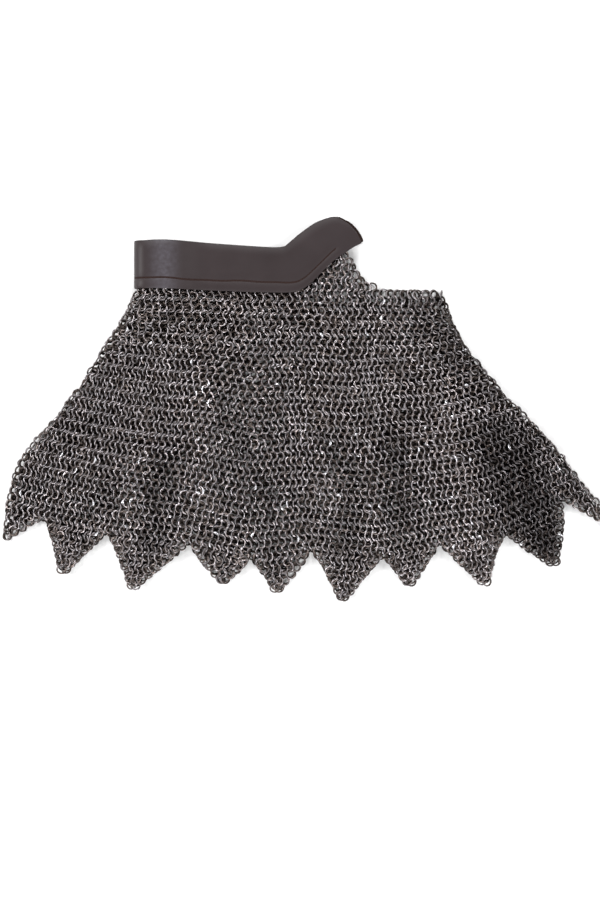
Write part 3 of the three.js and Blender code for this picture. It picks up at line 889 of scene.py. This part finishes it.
class Finish:
    """A new material, and short ways to build its tree of nodes."""

    def __init__(self, name):
        self.material = bpy.data.materials.new(name)
        self.material.use_nodes = True
        self.tree = self.material.node_tree
        self.tree.nodes.clear()
        out = self.tree.nodes.new("ShaderNodeOutputMaterial")
        self.surface = self.tree.nodes.new("ShaderNodeBsdfPrincipled")
        self.tree.links.new(self.surface.outputs["BSDF"], out.inputs["Surface"])

    def feed(self, node, sockets):
        """Gives a node's sockets their values, or links them to other nodes' outputs."""
        for socket, source in sockets.items():
            if isinstance(source, bpy.types.NodeSocket):
                self.tree.links.new(source, node.inputs[socket])
            else:
                node.inputs[socket].default_value = source

    def add(self, kind, sockets, output, **options):
        """Adds a node and gives back one of its outputs."""
        node = self.tree.nodes.new(kind)
        for option, value in options.items():
            setattr(node, option, value)
        self.feed(node, sockets)
        return node.outputs[output]

    def place(self):
        return self.add("ShaderNodeTexCoord", {}, "Object")

    def carried(self, name):
        """A value that the mesh carries at each of its points."""
        return self.add("ShaderNodeAttribute", {}, "Fac", attribute_name=name)

    def noise(self, scale, detail):
        sockets = {"Vector": self.place(), "Scale": scale, "Detail": detail}
        return self.add("ShaderNodeTexNoise", sockets, "Fac")

    def ranged(self, value, low, high, start=0.0, end=1.0, **options):
        """A value that runs from start to end, made to run from low to high."""
        sockets = {"Value": value, "From Min": start, "From Max": end, "To Min": low, "To Max": high}
        return self.add("ShaderNodeMapRange", sockets, "Result", **options)

    def math(self, operation, first, second=0.0):
        return self.add("ShaderNodeMath", {0: first, 1: second}, 0, operation=operation)

    def mix(self, factor, first, second, **options):
        """A mix of two colours."""
        sockets = {"Factor": factor, "A": first, "B": second}
        return self.add("ShaderNodeMix", sockets, "Result", data_type="RGBA", **options)

    def bump(self, height, strength, distance):
        sockets = {"Height": height, "Strength": strength, "Distance": distance}
        return self.add("ShaderNodeBump", sockets, "Normal")

    def cover(self, colour, roughness, **others):
        """Finishes the surface. The other sockets go by name, with _ for a space."""
        sockets = {name.replace("_", " "): source for name, source in others.items()}
        self.feed(self.surface, {"Base Color": colour, "Roughness": roughness, **sockets})
        return self.material


def once(make):
    """Makes a material when it is first asked for, and finds it again after that."""

    def find_or_make():
        return bpy.data.materials.get(make.__name__) or make()

    return find_or_make


def lightened(colour, times):
    return [channel * times for channel in colour[:3]] + [1]


@once
def oiled_steel():
    mail = settings("mail")
    steel = Finish("oiled_steel")
    tone, wear_and_painted_light = steel.carried("ring_tone"), steel.carried("wear_and_painted_light")
    patina = steel.noise(scale=70.0, detail=3.0)
    fine = steel.noise(scale=900.0, detail=2.0)
    # rubbed carries wear, painted rim highlights and painted shade in the depth
    rubbed = steel.math("MULTIPLY", wear_and_painted_light, steel.ranged(fine, low=0.8, high=1.15))
    shade = steel.add("ShaderNodeValToRGB", {"Fac": rubbed}, "Color")
    ramp = shade.node.color_ramp
    # the ramp runs from old oil with painted shade, through oiled steel, to worn steel with painted
    # rim highlights
    ramp.elements[0].position = 0.08
    ramp.elements[0].color = mail.hollow
    ramp.elements[1].position = 1.0
    ramp.elements[1].color = mail.bright_steel
    ramp.elements.new(0.5).color = mail.dark_steel
    brown = steel.mix(patina, shade, mail.patina, blend_type="MULTIPLY")
    # cast brings the folds' painted light and shade into the steel's tone
    value = steel.math("MULTIPLY", steel.ranged(tone, low=0.65, high=1.3), steel.carried("cast"))
    toned = steel.add("ShaderNodeHueSaturation", {"Value": value, "Color": brown}, "Color")
    shine = steel.ranged(wear_and_painted_light, low=0.0, high=1.0, start=1.05, end=1.5)
    polished = steel.mix(shine, toned, mail.polished_steel)
    rough = steel.ranged(tone, low=0.46, high=0.26)
    normal = steel.bump(fine, strength=0.2, distance=0.0003)
    return steel.cover(polished, rough, Metallic=1.0, Normal=normal)


@once
def dark_leather():
    band = settings("band")
    leather = Finish("dark_leather")
    cloud = leather.noise(scale=25.0, detail=4.0)
    pores = {"Vector": leather.place(), "Scale": 1100.0}
    grain = leather.add("ShaderNodeTexVoronoi", pores, "Distance")
    shade = leather.mix(cloud, band.leather_dark, band.leather_light)
    # a painted sheen on the stretch where the band curves at the nape
    along = leather.add("ShaderNodeSeparateXYZ", {"Vector": leather.place()}, "X")
    off = leather.math("ABSOLUTE", leather.math("SUBTRACT", along, SHEEN_X))
    near = leather.ranged(off, low=1.0, high=0.0, end=SHEEN_HALF, interpolation_type="SMOOTHSTEP")
    # rubbed here is the mask of the painted sheen
    rubbed = leather.math("MULTIPLY", near, leather.noise(scale=220.0, detail=3.0))
    scuffed = leather.mix(rubbed, shade, band.scuffed)
    normal = leather.bump(grain, strength=0.15, distance=0.0002)
    return leather.cover(scuffed, roughness=0.5, Specular_IOR_Level=0.3, Normal=normal)


@once
def raw_leather_with_shade():
    # the flesh side, cut edges and stitch groove: reddish brown raw leather, its darkness partly
    # painted shade
    edge = settings("band").raw_edge
    leather = Finish("raw_leather_with_shade")
    fibres = leather.noise(scale=1500.0, detail=4.0)
    shade = leather.mix(fibres, edge, lightened(edge, 1.5))
    normal = leather.bump(fibres, strength=0.4, distance=0.0003)
    return leather.cover(shade, roughness=0.85, Specular_IOR_Level=0.2, Normal=normal)


@once
def waxed_thread():
    thread = settings("band").thread
    wax = Finish("waxed_thread")
    shade = wax.mix(wax.noise(scale=2500.0, detail=2.0), thread, lightened(thread, 2))
    return wax.cover(shade, roughness=0.7, Specular_IOR_Level=0.2)


def table_heights(table, x):
    """A smooth curve through a table of places, read at x."""
    points = np.array(table)
    share = np.linspace(0, 1, TABLE_STEPS * len(points))
    return np.interp(x, curve_through(points[:, 0], share), curve_through(points[:, 1], share))


def band_lower(x):
    return table_heights(BAND_LOWER_EDGE, x)


def band_upper(x):
    return np.where(x < CHEEK_START, table_heights(BAND_BACK_EDGE, x), table_heights(CHEEK_EDGE, x))


def seam_line(x):
    """Where the stitches run, a little unevenly, as a hand sews them."""
    y = band_lower(x) + SEAM_HEIGHT
    for wave in SEAM_WAVES:
        y = y + wave.height * np.sin(wave.rate * x + wave.start)
    return y


def band_stations():
    """The band from the upper cheek tip round the nape to the lower one: x, z of its middle,
    which way its outside faces, the place on the cut, and the lower tip's shift."""
    tree = solid_tree("leather_band")
    bend_x = BAND_END_X + LEATHER_HALF + BAND_BEND
    share = np.linspace(0, 1, BAND_STATIONS)
    cut = bend_x + (CHEEK_END - bend_x) * (1 - (1 - share) ** BAND_CROWDING)
    inside = (band_lower(cut) + band_upper(cut)) / 2
    top = []
    for x, y in zip(cut, inside):
        hit = tree.ray_cast(Vector((x, y, RAY_HEIGHT)), Vector((0, 0, -1)))[0]
        top.append(hit.z if hit else top[-1])
    upper_z = np.array(top) - LEATHER_HALF
    turn = np.pi / 2 + np.pi * np.arange(1, BAND_BEND_STEPS) / BAND_BEND_STEPS
    bend_z = LEATHER_HALF + BAND_BEND + BAND_BEND * np.sin(turn)
    shift = TIP_SHIFT_X * smooth_step(cut, bend_x, CHEEK_START)
    drop = TIP_SHIFT_Y * smooth_step(cut, TIP_SHIFT_START_X, CHEEK_END)
    count = len(cut)
    x = np.concatenate([cut[::-1], bend_x + BAND_BEND * np.cos(turn), cut + shift])
    z = np.concatenate([upper_z[::-1], bend_z, np.full(count, LEATHER_HALF)])
    face_x = np.concatenate([np.zeros(count), np.cos(turn), np.zeros(count)])
    face_z = np.concatenate([np.ones(count), np.sin(turn), -np.ones(count)])
    cuts = np.concatenate([cut[::-1], np.full(len(turn), bend_x), cut])
    shift_y = np.concatenate([np.zeros(count + len(turn)), drop])
    return x, z, face_x, face_z, cuts, shift_y


def build_band():
    x, z, face_x, face_z, cuts, shift_y = band_stations()
    low, high = band_lower(cuts), band_upper(cuts)
    groove = seam_line(cuts)
    near_edge = EDGE_ROUNDING * EDGE_STEP
    height = np.stack([
        low, low + near_edge, low + EDGE_ROUNDING, low + (groove - low) * 0.5,
        groove - GROOVE_HALF, groove, groove + GROOVE_HALF,
        *(groove + (high - groove) * quarter for quarter in (0.25, 0.5, 0.75)),
        high - EDGE_ROUNDING, high - near_edge, high,
    ], axis=1)
    height = np.minimum(height, high[:, None])
    height = np.maximum.accumulate(height, axis=1)
    inward = np.array([*EDGE_THICKNESS, *np.ones(FULL_COLUMNS), *EDGE_THICKNESS[::-1]])
    outward = inward.copy()
    outward[GROOVE_COLUMN] = 1 - GROOVE_DEPTH / LEATHER_HALF
    profile_y = np.concatenate([height, height[:, ::-1]], axis=1)
    profile_out = np.concatenate([outward, -inward[::-1]]) * LEATHER_HALF
    profile_out = np.tile(profile_out, (len(cuts), 1))
    is_sewn = cuts < SEAM_END_X
    profile_out[~is_sewn, GROOVE_COLUMN] = LEATHER_HALF
    points = np.stack([
        x[:, None] + profile_out * face_x[:, None],
        profile_y + shift_y[:, None],
        z[:, None] + profile_out * face_z[:, None],
    ], axis=-1)
    stations, section = points.shape[:2]
    corner = np.arange(section)[None]
    walls = tube_faces(stations, section)
    caps = [corner[:, ::-1], (stations - 1) * section + corner]
    item = mesh_object("leather_strap", points.reshape(-1, 3), [walls, *caps], BAND_CREASE)
    for material in (dark_leather(), raw_leather_with_shade()):
        item.data.materials.append(material)
    half = len(outward)
    in_groove = (corner == GROOVE_COLUMN - 1) | (corner == GROOVE_COLUMN)
    # raw leather, darkened partly with painted shade, on the flesh side, the edges and the groove
    is_raw_and_shaded = (corner >= half - 1) | (in_groove & is_sewn[:-1, None])
    index = np.concatenate([is_raw_and_shaded.astype(np.int32).ravel(), np.ones(len(caps), np.int32)])
    item.data.polygons.foreach_set("material_index", index)
    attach(item, "root")
    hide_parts("leather_band")
    return item


def build_seam():
    """Stitches in the groove, each one a short length of thread that thins out at both ends."""
    x, z, face_x, face_z, cuts, shift_y = band_stations()
    out = LEATHER_HALF - THREAD_RADIUS - THREAD_CLEARANCE
    y = seam_line(cuts) + shift_y
    line = np.column_stack([x + out * face_x, y, z + out * face_z])
    facing = np.column_stack([face_x, np.zeros(len(x)), face_z])
    sewn = cuts < SEAM_END_X
    line, facing = line[sewn], facing[sewn]
    before = np.concatenate([[0], np.cumsum(np.linalg.norm(np.diff(line, axis=0), axis=1))])
    rng = np.random.default_rng(SEED + 3)
    count = int(before[-1] / STITCH_PITCH)
    middle = (np.arange(count) + 0.5) * STITCH_PITCH + rng.normal(0, STITCH_SHIFT, count)
    share = np.array(STITCH_SHARES)
    thick = np.array(STITCH_THICKNESS) * THREAD_RADIUS
    places = (middle[:, None] + share[None, :] * STITCH_LENGTH / 2).ravel()
    centre = read_along(places, before, line)
    up = unit(read_along(places, before, facing))
    way = unit(read_along(places, before, unit(np.gradient(line, axis=0))))
    side = unit(np.cross(up, way))
    slant = np.repeat(rng.normal(0, STITCH_SLANT, count), len(share)) * np.tile(share, count)
    centre += side * slant[:, None]
    turn = np.arange(THREAD_SIDES) / THREAD_SIDES * 2 * np.pi
    radius = np.tile(thick, count)[:, None, None]
    points = centre[:, None] + radius * (
        np.cos(turn)[None, :, None] * side[:, None] + np.sin(turn)[None, :, None] * up[:, None]
    )
    walls = tube_faces(len(share), THREAD_SIDES)
    corner = np.arange(THREAD_SIDES)
    ends = np.stack([corner[::-1], corner + (len(share) - 1) * THREAD_SIDES])
    offset = (np.arange(count) * len(share) * THREAD_SIDES)[:, None, None]
    faces = [(walls[None] + offset).reshape(-1, 4), (ends[None] + offset).reshape(-1, THREAD_SIDES)]
    item = mesh_object("seam_stitches", points.reshape(-1, 3), faces)
    item.data.materials.append(waxed_thread())
    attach(item, "root")
    return item


def build_stage():
    stage = settings("stage")
    corners = np.array([(-1, -1, 0), (1, -1, 0), (1, 1, 0), (-1, 1, 0)], float) * FLOOR_HALF
    floor = mesh_object("floor", corners, [np.array([[0, 1, 2, 3]])])
    floor.data.materials.append(Finish("white_paper").cover(PAPER, PAPER_ROUGHNESS))

    world = bpy.data.worlds.new("studio")
    world.use_nodes = True
    background = world.node_tree.nodes["Background"]
    background.inputs["Color"].default_value = (1, 1, 1, 1)
    background.inputs["Strength"].default_value = STUDIO_BRIGHTNESS
    bpy.context.scene.world = world
    bpy.context.scene.view_settings.view_transform = "Standard"

    for lamp in LAMPS:
        light = bpy.data.lights.new(lamp.name, "AREA")
        light.shape = "SQUARE"
        light.size = LAMP_SIZE
        light.energy = stage.key_power * lamp.share
        holder = bpy.data.objects.new(lamp.name, light)
        holder.location = (lamp.x, lamp.y, LAMP_HEIGHT)
        holder.rotation_mode = "QUATERNION"
        holder.rotation_quaternion = (-holder.location).to_track_quat("-Z", "Y")
        bpy.context.scene.collection.objects.link(holder)

    camera = bpy.data.cameras.new("camera")
    camera.sensor_width = SENSOR_MM
    camera.lens = SENSOR_MM * stage.camera_height / VIEW_HEIGHT
    eye = bpy.data.objects.new("camera", camera)
    eye.location = (*VIEW_CENTRE, stage.camera_height)
    bpy.context.scene.collection.objects.link(eye)
    bpy.context.scene.camera = eye


def size(name, description, default, least, most):
    """A length that the panel shows."""
    return bpy.props.FloatProperty(
        name=name, description=description, default=default, min=least, max=most,
        subtype="DISTANCE", unit="LENGTH", precision=4,
    )


def colour(name, description, red, green, blue):
    """A colour that the panel shows."""
    return bpy.props.FloatVectorProperty(
        name=name, description=description, default=(red, green, blue, 1.0), size=4,
        min=0.0, max=1.0, subtype="COLOR",
    )


class MailSettings(bpy.types.PropertyGroup):
    """Sizes and colours of the mail."""

    ring_size: size("Ring size", "Outer diameter of a ring", 0.012, 0.006, 0.02)
    wire_width: size("Wire width", "Width of the flattened wire", 0.0018, 0.0005, 0.004)
    wire_thickness: size("Wire thickness", "Its thickness", 0.0011, 0.0004, 0.003)
    looseness: bpy.props.FloatProperty(
        name="Looseness", description="How unevenly the rings lean", default=0.26,
        min=0.0, max=0.5,
    )
    hollow: colour("Hollows", "Old oil and painted shade on the steel in the hollows", 0.058, 0.048, 0.044)
    dark_steel: colour("Dark steel", "Oiled steel on the rings' flats", 0.142, 0.124, 0.118)
    bright_steel: colour("Bright steel", "Steel where it is worn, with painted rim highlights", 0.34, 0.335, 0.364)
    polished_steel: colour("Polished steel", "Laps that are rubbed to a shine", 0.72, 0.72, 0.75)
    patina: colour("Patina", "Brown cast of old oil", 0.82, 0.73, 0.68)


class BandSettings(bpy.types.PropertyGroup):
    """Colours of the leather band and its stitches."""

    leather_dark: colour("Leather, dark", "Darker leather", 0.0175, 0.0112, 0.0118)
    leather_light: colour("Leather, light", "Lighter leather", 0.033, 0.024, 0.0255)
    scuffed: colour("Painted sheen", "Painted sheen where the band curves at the nape", 0.085, 0.078, 0.092)
    raw_edge: colour("Raw edge", "Flesh side and cut edges, darkened with painted shade", 0.016, 0.008, 0.0065)
    thread: colour("Thread", "Waxed thread of the seam", 0.016, 0.007, 0.006)


class StageSettings(bpy.types.PropertyGroup):
    """Light and camera."""

    camera_height: size("Camera height", "Height of the camera over the floor", 2.6, 0.5, 10.0)
    key_power: bpy.props.FloatProperty(
        name="Key light", description="Power of the left lamp, which sets the other three",
        default=56.0, min=0.0, subtype="POWER", unit="POWER",
    )


class AVENTAIL_OT_cape(bpy.types.Operator):
    """Lay the rings of the cape in their rows, on both layers"""

    bl_idname = "aventail.cape"
    bl_label = "Lay the cape"

    def execute(self, context):
        rng = np.random.default_rng(SEED + 1)
        weave = joined(weave_cape())
        upper = np.cross(weave.down, weave.along)[:, 2] > UPPER_FACING
        x = weave.centre[:, 0]
        first, second = UPPER_SPLITS
        parts = (
            ("mail_cape_back", True, upper & (x < first), ["mail_cape"]),
            ("mail_cape_middle", True, upper & (x >= first) & (x < second), []),
            ("mail_cape_front", True, upper & (x >= second), []),
            ("mail_cape_under_back", False, ~upper & (x < UNDER_SPLIT), []),
            ("mail_cape_under_front", False, ~upper & (x >= UNDER_SPLIT), []),
        )
        for name, is_upper, keep, nodes in parts:
            part = chosen(weave, keep)
            item = ring_mesh(name, part, is_upper, not is_upper, rng)
            finish_mail(item, nodes)
        return {"FINISHED"}


class AVENTAIL_OT_dags(bpy.types.Operator):
    """Lay the rings of the hem's dags in their rows"""

    bl_idname = "aventail.dags"
    bl_label = "Lay the dags"

    def execute(self, context):
        rng = np.random.default_rng(SEED + 2)
        for layer, is_upper in (("upper", True), ("under", False)):
            rings, nodes = [], []
            for index in range(len(HEM) - 1):
                node = f"dag_{layer}_{index + 1}"
                nodes.append(node)
                rings += weave_dag(node, HEM[index], HEM[index + 1], is_upper)
            if is_upper:
                nodes += ["dag_back_fold", "dag_front_fold"]
                rings += weave_folded_dag(
                    "dag_back_fold", NOTCHES[1], NOTCHES[0], BACK_TIP, BACK_DAG_RINGS,
                )
                rings += weave_folded_dag(
                    "dag_front_fold", NOTCHES[-2], NOTCHES[-1], FRONT_TIP, FRONT_DAG_RINGS,
                )
            weave = joined(rings)
            item = ring_mesh(f"mail_dags_{layer}", weave, is_upper, False, rng)
            finish_mail(item, nodes)
        return {"FINISHED"}


class AVENTAIL_OT_band(bpy.types.Operator):
    """Cut the leather band and fold it round the nape"""

    bl_idname = "aventail.band"
    bl_label = "Cut the band"

    def execute(self, context):
        build_band()
        return {"FINISHED"}


class AVENTAIL_OT_seam(bpy.types.Operator):
    """Sew the band to the mail with one row of stitches"""

    bl_idname = "aventail.seam"
    bl_label = "Sew the seam"

    def execute(self, context):
        build_seam()
        return {"FINISHED"}


class AVENTAIL_OT_stage(bpy.types.Operator):
    """Set the floor, the soft lights and the camera"""

    bl_idname = "aventail.stage"
    bl_label = "Set the stage"

    def execute(self, context):
        build_stage()
        return {"FINISHED"}


class AVENTAIL_PT_panel(bpy.types.Panel):
    """The garment's sizes, colours and making steps"""

    bl_idname = "AVENTAIL_PT_panel"
    bl_label = "Mail aventail"
    bl_space_type = "VIEW_3D"
    bl_region_type = "UI"
    bl_category = "Aventail"

    def draw(self, context):
        for name in SETTINGS:
            group = getattr(context.scene, name)
            box = self.layout.box()
            for key in group.__annotations__:
                box.prop(group, key)
        for step in STEPS:
            self.layout.operator(step.bl_idname)


SETTINGS = {"mail": MailSettings, "band": BandSettings, "stage": StageSettings}
STEPS = (
    AVENTAIL_OT_cape, AVENTAIL_OT_dags, AVENTAIL_OT_band, AVENTAIL_OT_seam, AVENTAIL_OT_stage,
)


def register():
    for part in (*SETTINGS.values(), *STEPS, AVENTAIL_PT_panel):
        bpy.utils.register_class(part)
    for name, group in SETTINGS.items():
        setattr(bpy.types.Scene, name, bpy.props.PointerProperty(type=group))


def unregister():
    for name in SETTINGS:
        delattr(bpy.types.Scene, name)
    for part in (AVENTAIL_PT_panel, *reversed(STEPS), *SETTINGS.values()):
        bpy.utils.unregister_class(part)


def main():
    register()
    for step in STEPS:
        group, name = step.bl_idname.split(".")
        getattr(getattr(bpy.ops, group), name)()


if __name__ == "__main__":
    main()
